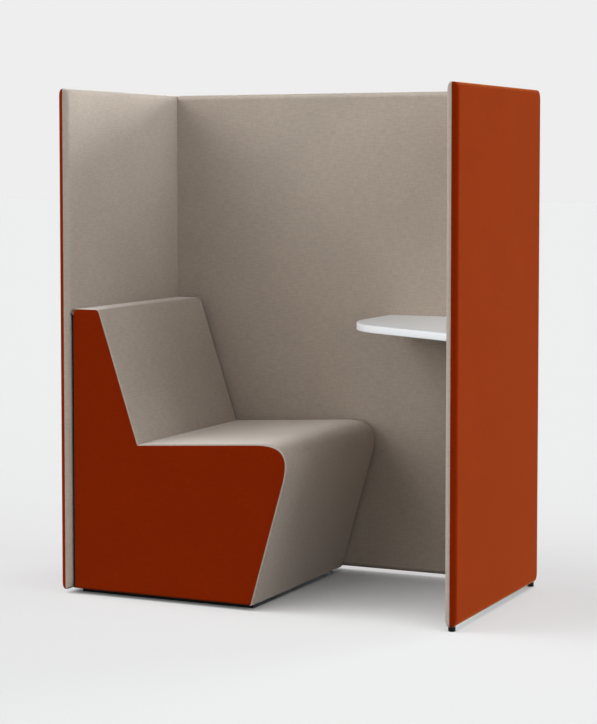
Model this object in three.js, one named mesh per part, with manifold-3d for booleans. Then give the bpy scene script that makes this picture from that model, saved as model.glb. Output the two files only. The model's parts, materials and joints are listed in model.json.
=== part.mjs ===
// Acoustic office pod: three upholstered screens in a U, a lounge seat and a shelf table.
// Millimetres, +Z up. X runs along the rear screen, with the seat at -X and the table at +X.
// Y runs from the open front to the rear screen. The origin is on the floor, under the middle of the pod.
import * as THREE from 'three';
import { mergeVertices } from 'three/addons/utils/BufferGeometryUtils.js';
import Module from 'manifold-3d';

const wasm = await Module();
wasm.setup();

// Clearances
const SOFT_GAP = 0.3; // between a soft piece and its neighbour
const FIT_GAP = 0.3; // round a fastener in its hole
const GLUE_GAP = 0.1; // between boards that are glued together

// Screens
const POD_WIDTH = 1172;
const POD_DEPTH = 664;
const SCREEN_HEIGHT = 1388;
const SCREEN_THICK = 32;
const SCREEN_EDGE_R = 15; // rounding from a face to the edge
const SCREEN_CORNER_R = 6; // rounding of a side screen's corners at the seam; it grows towards the faces
const REAR_END_R = 1.5; // the rear screen's rounding where it meets the side screens
const CORE_THICK = 16;
const CORE_INSET = 9; // upholstery round the edge of a core

// Levelling feet of the right screen
const FOOT_HEIGHT = 12;
const FOOT_R = 10;
const FOOT_CHAMFER = 1.5;
const FOOT_FLOOR = 3.7; // under the end of the stem
const FOOT_INSET = 20; // from the screen's front and rear edges
const STEM_R = 4;
const STEM_LENGTH = 36;
const SOCKET_R = 6;
const SOCKET_HEIGHT = 35;
const SOCKET_ROOF = 3;

// Lounge seat, seen from its side
const PLINTH_HEIGHT = 15.5;
const PLINTH_SIDE_SETBACK = 40;
const PLINTH_FRONT_SETBACK = 14;
const PLINTH_REAR_SETBACK = 10;
const SEAT_SETBACK = 10; // near side behind the screens' front edges
const SEAT_FAR_GAP = 26; // far side to the rear screen
const BACK_HEIGHT = 797.5;
const BACK_TOP_DEPTH = 90; // rear face to the top's front corner, before rounding
const BACK_LEAN = THREE.MathUtils.degToRad(18.3);
const CREASE_HEIGHT = 430;
const SEAT_TILT = THREE.MathUtils.degToRad(3.35);
const SEAT_REACH = 682.6; // rear face to the nose's corner, before rounding
const FRONT_UNDERCUT = THREE.MathUtils.degToRad(15.9);
const NOSE_R = 84;
const NOSE_FULLNESS = 2.15; // 1 is a round arc, more swells towards the corner
const BACK_TOP_FRONT_R = 15;
const BACK_TOP_REAR_R = 17;
const CROWN = 1.5; // swell of the padding across the seat's width
const ROLLED_EDGE = 4; // the band's rolled edge, down to the seam with the side
const SIDE_PAD_THICK = 7;
const SIDE_PAD_EDGE_R = 6;
const SIDE_PAD_REAR_SETBACK = 6.5; // a side pad's rear edge, in front of the seat's rear face
const SEAT_FOAM = 60;
const BACK_FOAM = 40;
const TOP_FOAM = 20;
const FRONT_FOAM = 16;
const SIDE_BOARD = 18;
const DECK_BOARD = 18;
const THIN_BOARD = 12; // rear, back and front boards

// Shelf table
const TABLE_HEIGHT = 759;
const TABLE_THICK = 20;
const TABLE_LENGTH = 409; // along the rear screen
const TABLE_SIDE_DEPTH = 575; // along the right screen
const TABLE_END_DEPTH = 342; // at its free end, before rounding
const TABLE_NOSE_R = 252;
const TABLE_REAR_R = 12;
const TABLE_EDGE_R = 1;
const BRACKET_LEG = 30;
const BRACKET_THICK = 3;
const REAR_BRACKET_LENGTH = 290;
const REAR_BRACKET_END = 66; // from the right screen
const RIGHT_BRACKET_LENGTH = 450;
const RIGHT_BRACKET_END = 50; // from the rear screen
const BRACKET_SCREW_END = 40; // wall screws, from a bracket's ends
const BRACKET_SCREW_STAGGER = 30; // table screws, further in
const BRACKET_SCREW_DROP = 18; // from the bracket's corner, along either leg

// Fasteners
const BOLT = { headR: 7.5, headHeight: 5, shankR: 4, grip: 18 }; // grip: the length held by what it enters
const BOLT_INSERT_R = 6;
const BOLT_INSERT_LENGTH = 25;
const BOLT_END = 190; // from the screens' lower and upper edges
const SEAT_SCREW = { headR: 6, headHeight: 4, shankR: 3, grip: 11 };
const SEAT_SCREW_ROWS = [['low', 160], ['high', 620]]; // heights of the screws to the left screen
const SEAT_SCREW_INSET = 113; // from the seat's sides
const TABLE_SCREW = { headR: 4.75, headHeight: 3, shankR: 2.5, grip: 12 };

// How finely round shapes are cut
const FASTENER_SIDES = 12;
const FOOT_SIDES = 28;
const CORNER_STEPS = 4;
const NOSE_STEPS = 10;
const TABLE_NOSE_STEPS = 12;
const CROWN_STEPS = 6;
const MERGE_DISTANCE = 1e-4;
const CUT_OVER = 5; // how far a cutting shape reaches past what it cuts

// Places that several pieces share
const FLOOR_GAP = FOOT_HEIGHT;
const SCREEN_TOP = FLOOR_GAP + SCREEN_HEIGHT;
const FRONT_Y = -POD_DEPTH / 2;
const REAR_Y = POD_DEPTH / 2;
const REAR_FACE_Y = REAR_Y - SCREEN_THICK; // the rear screen's inner face
const REAR_MID_Y = REAR_Y - SCREEN_THICK / 2;
const SIDE_X = POD_WIDTH / 2;
const SIDE_FACE_X = SIDE_X - SCREEN_THICK; // a side screen's inner face
const SIDE_MID_X = SIDE_X - SCREEN_THICK / 2;
const SEAT_REAR_X = -SIDE_FACE_X + SOFT_GAP;
const SEAT_NEAR_Y = FRONT_Y + SEAT_SETBACK;
const SEAT_FAR_Y = REAR_FACE_Y - SEAT_FAR_GAP;
const NEAR_BOARD_Y = SEAT_NEAR_Y + SIDE_PAD_THICK + SOFT_GAP; // outer face of the near side board
const FAR_BOARD_Y = SEAT_FAR_Y - SIDE_PAD_THICK - SOFT_GAP;
const REAR_END_X = SIDE_FACE_X - SOFT_GAP; // the rear screen's ends
const REAR_CORE_X = REAR_END_X - CORE_INSET; // ends of its core
const SIDE_CORE_X = SIDE_MID_X - CORE_THICK / 2; // inner face of a side screen's core
const BOLT_HEAD_X = SIDE_MID_X + CORE_THICK / 2 - BOLT.headHeight - FIT_GAP;
const BOLT_HEIGHTS = [['lower', FLOOR_GAP + BOLT_END], ['upper', SCREEN_TOP - BOLT_END]];
const SIDES = [['left', -1], ['right', 1]];
const FEET = [['front', FRONT_Y + FOOT_INSET], ['rear', REAR_Y - FOOT_INSET]];
const SEAT_BOTTOM = PLINTH_HEIGHT + GLUE_GAP;
const REAR_BOARD_X = SEAT_REAR_X + THIN_BOARD; // inner face of the seat's rear board
const FAR_BOARD_INNER_Y = FAR_BOARD_Y - SIDE_BOARD;
const TABLE_UNDER = TABLE_HEIGHT - TABLE_THICK;
const TABLE_REAR_Y = REAR_FACE_Y - SOFT_GAP;
const TABLE_RIGHT_X = SIDE_FACE_X - SOFT_GAP;
const BRACKET_Z = TABLE_UNDER - GLUE_GAP; // upper face of the brackets
const REAR_BRACKET_RUN = [REAR_BRACKET_LENGTH, 0].map((by) => TABLE_RIGHT_X - REAR_BRACKET_END - by);
const RIGHT_BRACKET_RUN = [RIGHT_BRACKET_LENGTH, 0].map((by) => TABLE_REAR_Y - RIGHT_BRACKET_END - by);
const WALL_SCREW_Z = BRACKET_Z - BRACKET_SCREW_DROP;
const WALL_SCREW_LENGTH = BRACKET_THICK + SOFT_GAP + (SCREEN_THICK - CORE_THICK) / 2 + TABLE_SCREW.grip;
const TABLE_SCREW_LENGTH = BRACKET_THICK + GLUE_GAP + TABLE_SCREW.grip;

const X_AXIS = new THREE.Vector3(1, 0, 0);
const Y_AXIS = new THREE.Vector3(0, 1, 0);
const Z_AXIS = new THREE.Vector3(0, 0, 1);

const PAINTS = {
  taupe: { color: 0xa89f93, roughness: 0.95, metalness: 0 },
  rust: { color: 0x9a3a18, roughness: 0.95, metalness: 0 },
  board: { color: 0xc9a876, roughness: 0.8, metalness: 0 },
  darkBoard: { color: 0x2b2622, roughness: 0.8, metalness: 0 },
  black: { color: 0x151515, roughness: 0.6, metalness: 0 },
  steel: { color: 0xb4b6b8, roughness: 0.35, metalness: 1 },
  white: { color: 0xf0f0ee, roughness: 0.4, metalness: 0 },
};

function piece(name, geometry, paint) {
  const mesh = new THREE.Mesh(geometry, new THREE.MeshStandardMaterial(PAINTS[paint]));
  mesh.name = name;
  return mesh;
}

// Cutting

function toSolid(geometry) {
  const bare = geometry.clone();
  bare.deleteAttribute('normal');
  bare.deleteAttribute('uv');
  const merged = mergeVertices(bare, MERGE_DISTANCE);
  const indices = merged.index.array;
  const triangles = [];
  for (let i = 0; i < indices.length; i += 3) {
    const [a, b, c] = indices.slice(i, i + 3);
    if (a !== b && b !== c && c !== a) triangles.push(a, b, c);
  }
  const vertProperties = new Float32Array(merged.attributes.position.array);
  const triVerts = new Uint32Array(triangles);
  return new wasm.Manifold(new wasm.Mesh({ numProp: 3, vertProperties, triVerts }));
}

function fromSolid(solid) {
  const { vertProperties, triVerts } = solid.getMesh();
  const geometry = new THREE.BufferGeometry();
  geometry.setAttribute('position', new THREE.BufferAttribute(vertProperties, 3));
  geometry.setIndex(new THREE.BufferAttribute(triVerts, 1));
  geometry.computeVertexNormals();
  return geometry;
}

function cut(geometry, ...tools) {
  return fromSolid(tools.reduce((solid, tool) => solid.subtract(toSolid(tool)), toSolid(geometry)));
}

function common(geometry, tool) {
  return fromSolid(toSolid(geometry).intersect(toSolid(tool)));
}

// Outlines and solids

// A closed outline, counter-clockwise, from corners { at, radius, fullness, steps }.
// A corner with a radius becomes a curve that leaves and joins its sides smoothly.
function outline(corners) {
  return corners.flatMap(({ at, radius = 0, fullness = 1, steps = CORNER_STEPS }, i) => {
    if (radius <= 0) return [at];
    const before = corners.at(i - 1).at.clone().sub(at).normalize();
    const after = corners[(i + 1) % corners.length].at.clone().sub(at).normalize();
    const half = Math.acos(before.dot(after)) / 2;
    const reach = radius / Math.tan(half);
    const start = at.clone().addScaledVector(before, reach);
    const end = at.clone().addScaledVector(after, reach);
    const weight = Math.sin(half) * fullness;
    return Array.from({ length: steps + 1 }, (_, k) => {
      const t = k / steps;
      const [a, b, c] = [(1 - t) ** 2, 2 * weight * t * (1 - t), t ** 2];
      const sum = start.clone().multiplyScalar(a).addScaledVector(at, b).addScaledVector(end, c);
      return sum.divideScalar(a + b + c);
    });
  });
}

function rectangle(u0, u1, v0, v1, radius) {
  const corners = [[u0, v0], [u1, v0], [u1, v1], [u0, v1]];
  return outline(corners.map(([u, v]) => ({ at: new THREE.Vector2(u, v), radius })));
}

function box(x0, x1, y0, y1, z0, z1) {
  const middle = [(x0 + x1) / 2, (y0 + y1) / 2, (z0 + z1) / 2];
  return new THREE.BoxGeometry(x1 - x0, y1 - y0, z1 - z0).translate(...middle);
}

// A side view in X and Z, carried from y0 to y1
function sideView(points, y0, y1) {
  const solid = new THREE.ExtrudeGeometry(new THREE.Shape(points), { depth: y1 - y0, bevelEnabled: false });
  return solid.rotateX(Math.PI / 2).translate(0, y1, 0);
}

// Lofts run along X with outlines in Y and Z, or along -Y with outlines in X and Z
const LOFTS = {
  x: { way: 1, place: (point, at) => [at, point.x, point.y] },
  y: { way: -1, place: (point, at) => [point.x, at, point.y] },
};

// A closed solid through stations { at, points } along an axis, with as many points at each station
function loft(along, stations) {
  const { way, place } = LOFTS[along];
  const ordered = [...stations].sort((a, b) => way * (a.at - b.at));
  const count = ordered[0].points.length;
  const last = (ordered.length - 1) * count;
  const triangles = [];
  for (let row = 0; row < last; row += count) {
    for (let j = 0; j < count; j += 1) {
      const next = (j + 1) % count;
      const [a, b, c, d] = [row + j, row + next, row + count + next, row + count + j];
      triangles.push(a, b, c, a, c, d);
    }
  }
  for (const [a, b, c] of THREE.ShapeUtils.triangulateShape(ordered[0].points, [])) triangles.push(a, c, b);
  for (const face of THREE.ShapeUtils.triangulateShape(ordered.at(-1).points, [])) {
    triangles.push(...face.map((k) => last + k));
  }
  const vertices = ordered.flatMap(({ at, points }) => points.flatMap((point) => place(point, at)));
  const geometry = new THREE.BufferGeometry();
  geometry.setAttribute('position', new THREE.Float32BufferAttribute(vertices, 3));
  geometry.setIndex(triangles);
  geometry.computeVertexNormals();
  return geometry;
}

// A turned piece about +Z from its half section, given as [radius, height] from the bottom up
function turned(section, sides) {
  const points = section.map(([radius, height]) => new THREE.Vector2(radius, height));
  return new THREE.LatheGeometry(points, sides).rotateX(Math.PI / 2);
}

function cylinder(radius, from, to, sides) {
  return turned([[0, from], [radius, from], [radius, to], [0, to]], sides);
}

// A quarter round from an edge to a face, as steps `drop` below the face and `inset` from the edge
function quarterRound(radius) {
  return Array.from({ length: CORNER_STEPS + 1 }, (_, k) => {
    const angle = (k / CORNER_STEPS) * (Math.PI / 2);
    return { drop: radius * (1 - Math.sin(angle)), inset: radius * (1 - Math.cos(angle)) };
  });
}

// Fasteners: `at` is the middle of the head's underside, and the shank points along `way`

function fastenerForm({ headR, headHeight, shankR }, length, gap) {
  const shank = shankR + gap;
  const head = headR + gap;
  const [start, end] = [-headHeight - gap, length + gap];
  const section = [[0, start], [head, start], [head, 0], [shank, 0], [shank, end], [0, end]];
  return turned(section, FASTENER_SIDES);
}

function fastenerMesh({ name, kind, length, at, way }) {
  const mesh = piece(name, fastenerForm(kind, length, 0), 'steel');
  mesh.position.copy(at);
  mesh.quaternion.setFromUnitVectors(Z_AXIS, way);
  return mesh;
}

function fastenerHole({ kind, length, at, way }) {
  const turn = new THREE.Quaternion().setFromUnitVectors(Z_AXIS, way);
  return fastenerForm(kind, length, FIT_GAP).applyQuaternion(turn).translate(...at);
}

const drilled = (geometry, fasteners) => cut(geometry, ...fasteners.map(fastenerHole));

const cornerBolts = SIDES.flatMap(([side, sign]) => BOLT_HEIGHTS.map(([end, z]) => ({
  name: `${side}_corner_bolt_${end}`,
  kind: BOLT,
  length: BOLT_HEAD_X - REAR_CORE_X + BOLT.grip,
  at: new THREE.Vector3(sign * BOLT_HEAD_X, REAR_MID_Y, z),
  way: X_AXIS.clone().multiplyScalar(-sign),
})));

const SEAT_SCREW_ENDS = [['near', SEAT_NEAR_Y + SEAT_SCREW_INSET], ['far', SEAT_FAR_Y - SEAT_SCREW_INSET]];
const seatScrews = SEAT_SCREW_ENDS.flatMap(([end, y]) => SEAT_SCREW_ROWS.map(([row, z]) => ({
  name: `seat_screw_${end}_${row}`,
  kind: SEAT_SCREW,
  length: REAR_BOARD_X + SIDE_CORE_X + SEAT_SCREW.grip,
  at: new THREE.Vector3(REAR_BOARD_X, y, z),
  way: X_AXIS.clone().negate(),
})));

// Two screws through each leg of a bracket that runs from `from` to `to` along its wall
function bracketScrews(wall, [from, to], { wallPlace, tablePlace, way }) {
  const pair = (leg, inset, length, place, direction) => [from + inset, to - inset].map((along, i) => ({
    name: `${wall}_bracket_${leg}_screw_${i + 1}`,
    kind: TABLE_SCREW,
    length,
    at: place(along),
    way: direction,
  }));
  return [
    ...pair('wall', BRACKET_SCREW_END, WALL_SCREW_LENGTH, wallPlace, way),
    ...pair('table', BRACKET_SCREW_END + BRACKET_SCREW_STAGGER, TABLE_SCREW_LENGTH, tablePlace, Z_AXIS),
  ];
}

const tableScrews = [
  ...bracketScrews('rear', REAR_BRACKET_RUN, {
    wallPlace: (x) => new THREE.Vector3(x, TABLE_REAR_Y - BRACKET_THICK, WALL_SCREW_Z),
    tablePlace: (x) => new THREE.Vector3(x, TABLE_REAR_Y - BRACKET_SCREW_DROP, BRACKET_Z - BRACKET_THICK),
    way: Y_AXIS,
  }),
  ...bracketScrews('right', RIGHT_BRACKET_RUN, {
    wallPlace: (y) => new THREE.Vector3(TABLE_RIGHT_X - BRACKET_THICK, y, WALL_SCREW_Z),
    tablePlace: (y) => new THREE.Vector3(TABLE_RIGHT_X - BRACKET_SCREW_DROP, y, BRACKET_Z - BRACKET_THICK),
    way: X_AXIS,
  }),
];
const fasteners = [...cornerBolts, ...seatScrews, ...tableScrews];

// Screens

// Half of a screen's upholstery, from the seam round its middle to its face. Its ends lie at `ends`.
function halfScreen(along, seam, face, ends, endR, cornerR) {
  const side = Math.sign(face - seam);
  const steps = [{ drop: Math.abs(face - seam), inset: 0 }, ...quarterRound(SCREEN_EDGE_R)];
  return loft(along, steps.map(({ drop, inset }) => {
    const endInset = (inset * endR) / SCREEN_EDGE_R;
    const [bottom, top] = [FLOOR_GAP + inset, SCREEN_TOP - inset];
    return {
      at: face - side * drop,
      points: rectangle(ends[0] + endInset, ends[1] - endInset, bottom, top, cornerR + endInset),
    };
  }));
}

// A core board and the two pads that are pulled over it
function screen(name, along, { mid, inner, outer, ends, endR, cornerR }, holes) {
  const core = (gap) => {
    const thick = [mid - CORE_THICK / 2 - gap, mid + CORE_THICK / 2 + gap];
    const wide = [ends[0] + CORE_INSET - gap, ends[1] - CORE_INSET + gap];
    const high = [FLOOR_GAP + CORE_INSET - gap, SCREEN_TOP - CORE_INSET + gap];
    return along === 'x' ? box(...thick, ...wide, ...high) : box(...wide, ...thick, ...high);
  };
  const pad = (face) => {
    const seam = mid + (Math.sign(face - mid) * SOFT_GAP) / 2;
    return cut(halfScreen(along, seam, face, ends, endR, cornerR), core(SOFT_GAP), ...holes);
  };
  return [
    piece(`${name}_screen_core`, drilled(cut(core(0), ...holes), fasteners), 'board'),
    piece(`${name}_screen_inner_pad`, drilled(pad(inner), fasteners), 'taupe'),
    piece(`${name}_screen_outer_pad`, drilled(pad(outer), fasteners), 'rust'),
  ];
}

function screens() {
  const side = { ends: [FRONT_Y, REAR_Y], endR: SCREEN_EDGE_R, cornerR: SCREEN_CORNER_R };
  const left = { ...side, mid: -SIDE_MID_X, inner: -SIDE_FACE_X, outer: -SIDE_X };
  const right = { ...side, mid: SIDE_MID_X, inner: SIDE_FACE_X, outer: SIDE_X };
  const rear = {
    mid: REAR_MID_Y,
    inner: REAR_FACE_Y,
    outer: REAR_Y,
    ends: [-REAR_END_X, REAR_END_X],
    endR: REAR_END_R,
    cornerR: REAR_END_R,
  };
  const socketHole = cylinder(SOCKET_R + FIT_GAP, 0, FLOOR_GAP + SOCKET_HEIGHT + FIT_GAP, FOOT_SIDES);
  const footHoles = FEET.map(([, y]) => socketHole.clone().translate(SIDE_MID_X, y, 0));
  const insertHoles = cornerBolts.map((bolt) => insertForm(bolt, BOLT_INSERT_R + FIT_GAP, FIT_GAP));
  const group = new THREE.Group();
  group.add(...screen('left', 'x', left, []));
  group.add(...screen('rear', 'y', rear, insertHoles));
  group.add(...screen('right', 'x', right, footHoles));
  group.add(...cornerBolts.map(fastenerMesh), ...cornerBolts.map(insert));
  return group;
}

// The cylinder that an insert fills in the end of the rear screen's core
function insertForm(bolt, radius, gap) {
  const depth = BOLT_HEAD_X - REAR_CORE_X;
  const turn = new THREE.Quaternion().setFromUnitVectors(Z_AXIS, bolt.way);
  const form = cylinder(radius, depth - gap, depth + BOLT_INSERT_LENGTH + gap, FASTENER_SIDES);
  return form.applyQuaternion(turn).translate(...bolt.at);
}

function insert(bolt) {
  const tube = cut(insertForm(bolt, BOLT_INSERT_R, 0), insertForm(bolt, BOLT.shankR + FIT_GAP, CUT_OVER));
  return piece(bolt.name.replace('bolt', 'insert'), tube, 'steel');
}

// Levelling feet: a socket in the screen's core, a threaded stem, and the pad that stands on the floor

function foot([end, y]) {
  const bore = STEM_R + FIT_GAP;
  const socketTop = FLOOR_GAP + SOCKET_HEIGHT;
  const socket = cut(
    cylinder(SOCKET_R, FLOOR_GAP, socketTop, FOOT_SIDES),
    cylinder(bore, FLOOR_GAP - CUT_OVER, socketTop - SOCKET_ROOF, FOOT_SIDES),
  );
  const padSection = [
    [0, 0],
    [FOOT_R - FOOT_CHAMFER, 0],
    [FOOT_R, FOOT_CHAMFER],
    [FOOT_R, FOOT_HEIGHT],
    [bore, FOOT_HEIGHT],
    [bore, FOOT_FLOOR],
    [0, FOOT_FLOOR],
  ];
  const stemBottom = FOOT_FLOOR + FIT_GAP;
  const stem = cylinder(STEM_R, stemBottom, stemBottom + STEM_LENGTH, FOOT_SIDES);
  const group = new THREE.Group();
  group.position.set(SIDE_MID_X, y, 0);
  group.add(
    piece(`${end}_foot_socket`, socket, 'steel'),
    piece(`${end}_foot_stem`, stem, 'steel'),
    piece(`${end}_foot_pad`, turned(padSection, FOOT_SIDES), 'black'),
  );
  return group;
}

// Lounge seat

// A straight side of the seat's side view: the points p with out . p = reach
function straight(angle, through) {
  const out = new THREE.Vector2(Math.cos(angle), Math.sin(angle));
  return { out, reach: out.dot(through) };
}

const level = (z) => straight(Math.PI / 2, new THREE.Vector2(0, z));
const upright = (x) => straight(0, new THREE.Vector2(x, 0));
const shifted = ({ out, reach }, by) => ({ out, reach: reach + by });

function meet(a, b) {
  const x = a.reach * b.out.y - b.reach * a.out.y;
  const z = a.out.x * b.reach - b.out.x * a.reach;
  return new THREE.Vector2(x, z).divideScalar(a.out.cross(b.out));
}

// The corners where each line meets the next, the last one meeting the first
const corners = (lines) => lines.map((line, i) => meet(line, lines[(i + 1) % lines.length]));

function seatLines() {
  const back = straight(BACK_LEAN, new THREE.Vector2(SEAT_REAR_X + BACK_TOP_DEPTH, BACK_HEIGHT));
  const pan = straight(Math.PI / 2 + SEAT_TILT, meet(back, level(CREASE_HEIGHT)));
  const front = straight(-FRONT_UNDERCUT, meet(upright(SEAT_REAR_X + SEAT_REACH), pan));
  return {
    bottom: level(SEAT_BOTTOM),
    front,
    pan,
    back,
    top: level(BACK_HEIGHT),
    rear: upright(SEAT_REAR_X),
  };
}

const SEAT = seatLines();
const CARCASS = {
  front: shifted(SEAT.front, -FRONT_FOAM),
  pan: shifted(SEAT.pan, -SEAT_FOAM),
  back: shifted(SEAT.back, -BACK_FOAM),
  top: shifted(SEAT.top, -TOP_FOAM),
};

// The seat from its side, with the upholstered sides moved out by `swell`, the bottom up and the rear forwards
function seatOutline(swell, up, forwards) {
  const upholstered = [SEAT.front, SEAT.pan, SEAT.back, SEAT.top];
  const [front, pan, back, top] = upholstered.map((line) => shifted(line, swell));
  const bottom = shifted(SEAT.bottom, up);
  const rear = shifted(SEAT.rear, forwards);
  return outline([
    { at: meet(bottom, front) },
    { at: meet(front, pan), radius: NOSE_R + swell, fullness: NOSE_FULLNESS, steps: NOSE_STEPS },
    { at: meet(pan, back) },
    { at: meet(back, top), radius: BACK_TOP_FRONT_R + swell },
    { at: meet(top, rear), radius: BACK_TOP_REAR_R + swell },
    { at: meet(rear, bottom) },
  ]);
}

// The carcass from its side, grown by `gap` under the padding and by `over` past its rear and bottom
function carcassOutline(gap, over) {
  const { front, pan, back, top } = CARCASS;
  const padded = [front, pan, back, top].map((line) => shifted(line, gap));
  return corners([shifted(SEAT.bottom, -over), ...padded, shifted(SEAT.rear, -over)]);
}

// The whole padded block: a crown across its width and a rolled edge at either side
function seatBlock() {
  const [near, far] = [SEAT_NEAR_Y + ROLLED_EDGE, SEAT_FAR_Y - ROLLED_EDGE];
  const edges = quarterRound(ROLLED_EDGE).flatMap(({ drop, inset }) => [
    { at: SEAT_NEAR_Y + drop, swell: -inset },
    { at: SEAT_FAR_Y - drop, swell: -inset },
  ]);
  const middle = Array.from({ length: CROWN_STEPS - 1 }, (_, k) => {
    const share = (k + 1) / CROWN_STEPS;
    return { at: THREE.MathUtils.lerp(near, far, share), swell: CROWN * 4 * share * (1 - share) };
  });
  return loft('y', [...edges, ...middle].map(({ at, swell }) => ({ at, points: seatOutline(swell, 0, 0) })));
}

// The seat pad and the back pad, parted at the crease
function seatPads() {
  const [outside, beyond] = [SEAT_NEAR_Y - CUT_OVER, SEAT_FAR_Y + CUT_OVER];
  const sideForm = seatOutline(SOFT_GAP - ROLLED_EDGE, -CUT_OVER, -CUT_OVER);
  const band = cut(
    seatBlock(),
    sideView(carcassOutline(SOFT_GAP, CUT_OVER), outside, beyond),
    sideView(sideForm, outside, NEAR_BOARD_Y),
    sideView(sideForm, FAR_BOARD_Y, beyond),
  );
  const inner = meet(CARCASS.pan, CARCASS.back);
  const rise = meet(SEAT.pan, SEAT.back).sub(inner).normalize();
  const across = new THREE.Vector2(-rise.y, rise.x);
  const part = (sign) => {
    const start = inner.clone().addScaledVector(across, (sign * SOFT_GAP) / 2);
    const [low, high] = [-POD_WIDTH, POD_WIDTH].map((by) => start.clone().addScaledVector(rise, by));
    const far = [high, low].map((point) => point.clone().addScaledVector(across, sign * POD_WIDTH));
    return common(band, sideView([low, high, ...far], outside, beyond));
  };
  return [piece('seat_back_pad', part(1), 'taupe'), piece('seat_pad', part(-1), 'taupe')];
}

// A side's thin padding, from its board to its face, under the band's rolled edge
function sidePad(name, face, inner) {
  const side = Math.sign(inner - face);
  const steps = [{ drop: Math.abs(inner - face), inset: 0 }, ...quarterRound(SIDE_PAD_EDGE_R)];
  const pad = loft('y', steps.map(({ drop, inset }) => ({
    at: face + side * drop,
    points: seatOutline(-ROLLED_EDGE, inset, SIDE_PAD_REAR_SETBACK + inset),
  })));
  return piece(name, pad, 'rust');
}

function seatBoards() {
  const rearInner = upright(REAR_BOARD_X);
  const baseTop = level(SEAT_BOTTOM + DECK_BOARD);
  const railUnder = shifted(CARCASS.top, -DECK_BOARD);
  const backBehind = shifted(CARCASS.back, -THIN_BOARD);
  const frontBehind = shifted(CARCASS.front, -THIN_BOARD);
  const deckUnder = shifted(CARCASS.pan, -DECK_BOARD);
  const raised = (line) => shifted(line, GLUE_GAP);
  const lowered = (line) => shifted(line, -GLUE_GAP);
  const across = {
    seat_base_board: [SEAT.bottom, CARCASS.front, baseTop, SEAT.rear],
    seat_rear_board: [raised(baseTop), rearInner, lowered(railUnder), SEAT.rear],
    seat_top_rail: [railUnder, CARCASS.back, CARCASS.top, SEAT.rear],
    seat_back_board: [raised(CARCASS.pan), CARCASS.back, lowered(railUnder), backBehind],
    seat_deck: [deckUnder, CARCASS.front, CARCASS.pan, raised(rearInner)],
    seat_front_board: [raised(baseTop), CARCASS.front, lowered(deckUnder), frontBehind],
  };
  const span = [NEAR_BOARD_Y + SIDE_BOARD + GLUE_GAP, FAR_BOARD_INNER_Y - GLUE_GAP];
  const sideForm = carcassOutline(0, 0);
  const board = (name, geometry) => piece(name, drilled(geometry, seatScrews), 'darkBoard');
  return [
    ...Object.entries(across).map(([name, lines]) => board(name, sideView(corners(lines), ...span))),
    board('seat_near_side_board', sideView(sideForm, NEAR_BOARD_Y, NEAR_BOARD_Y + SIDE_BOARD)),
    board('seat_far_side_board', sideView(sideForm, FAR_BOARD_INNER_Y, FAR_BOARD_Y)),
  ];
}

function plinth() {
  const frontX = meet(SEAT.bottom, SEAT.front).x - PLINTH_FRONT_SETBACK;
  const run = [SEAT_REAR_X + PLINTH_REAR_SETBACK, frontX];
  const span = [SEAT_NEAR_Y + PLINTH_SIDE_SETBACK, SEAT_FAR_Y - PLINTH_SIDE_SETBACK];
  return piece('plinth', box(...run, ...span, 0, PLINTH_HEIGHT), 'black');
}

function seat() {
  const group = new THREE.Group();
  group.add(plinth(), ...seatBoards(), ...seatPads());
  group.add(sidePad('seat_near_side_pad', SEAT_NEAR_Y, NEAR_BOARD_Y - SOFT_GAP));
  group.add(sidePad('seat_far_side_pad', SEAT_FAR_Y, FAR_BOARD_Y + SOFT_GAP));
  group.add(...seatScrews.map(fastenerMesh));
  return group;
}

// Shelf table

function tableTop() {
  const freeEnd = TABLE_RIGHT_X - TABLE_LENGTH;
  const shape = new THREE.Shape(outline([
    { at: new THREE.Vector2(TABLE_RIGHT_X, TABLE_REAR_Y) },
    { at: new THREE.Vector2(freeEnd, TABLE_REAR_Y), radius: TABLE_REAR_R },
    {
      at: new THREE.Vector2(freeEnd, TABLE_REAR_Y - TABLE_END_DEPTH),
      radius: TABLE_NOSE_R,
      steps: TABLE_NOSE_STEPS,
    },
    { at: new THREE.Vector2(TABLE_RIGHT_X, TABLE_REAR_Y - TABLE_SIDE_DEPTH) },
  ]));
  const board = new THREE.ExtrudeGeometry(shape, {
    depth: TABLE_THICK - 2 * TABLE_EDGE_R,
    bevelThickness: TABLE_EDGE_R,
    bevelSize: TABLE_EDGE_R,
    bevelOffset: -TABLE_EDGE_R,
    bevelSegments: 2,
  });
  return piece('table_top', drilled(board.translate(0, 0, TABLE_UNDER + TABLE_EDGE_R), tableScrews), 'white');
}

// A steel angle along +Y, with its corner on the origin, one leg down the wall and one away from it
function angleIron(length) {
  const section = [
    [0, 0],
    [-BRACKET_LEG, 0],
    [-BRACKET_LEG, -BRACKET_THICK],
    [-BRACKET_THICK, -BRACKET_THICK],
    [-BRACKET_THICK, -BRACKET_LEG],
    [0, -BRACKET_LEG],
  ];
  return sideView(section.map(([x, z]) => new THREE.Vector2(x, z)), 0, length);
}

function table() {
  const rear = angleIron(REAR_BRACKET_LENGTH).rotateZ(Math.PI / 2);
  rear.translate(REAR_BRACKET_RUN[1], TABLE_REAR_Y, BRACKET_Z);
  const right = angleIron(RIGHT_BRACKET_LENGTH).translate(TABLE_RIGHT_X, RIGHT_BRACKET_RUN[0], BRACKET_Z);
  const group = new THREE.Group();
  group.add(
    tableTop(),
    piece('table_rear_bracket', drilled(rear, tableScrews), 'steel'),
    piece('table_right_bracket', drilled(right, tableScrews), 'steel'),
    ...tableScrews.map(fastenerMesh),
  );
  return group;
}

const pod = new THREE.Group();
pod.add(screens(), ...FEET.map(foot), seat(), table());

export default pod;
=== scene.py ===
"""Looks of the acoustic office pod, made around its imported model.

Shapes are worked out in millimetres and become metres when a mesh is made. X runs along the rear screen,
with the seat at -X, Y runs from the open front to the rear screen, and Z is up from the floor.
"""
import json
import math

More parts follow.
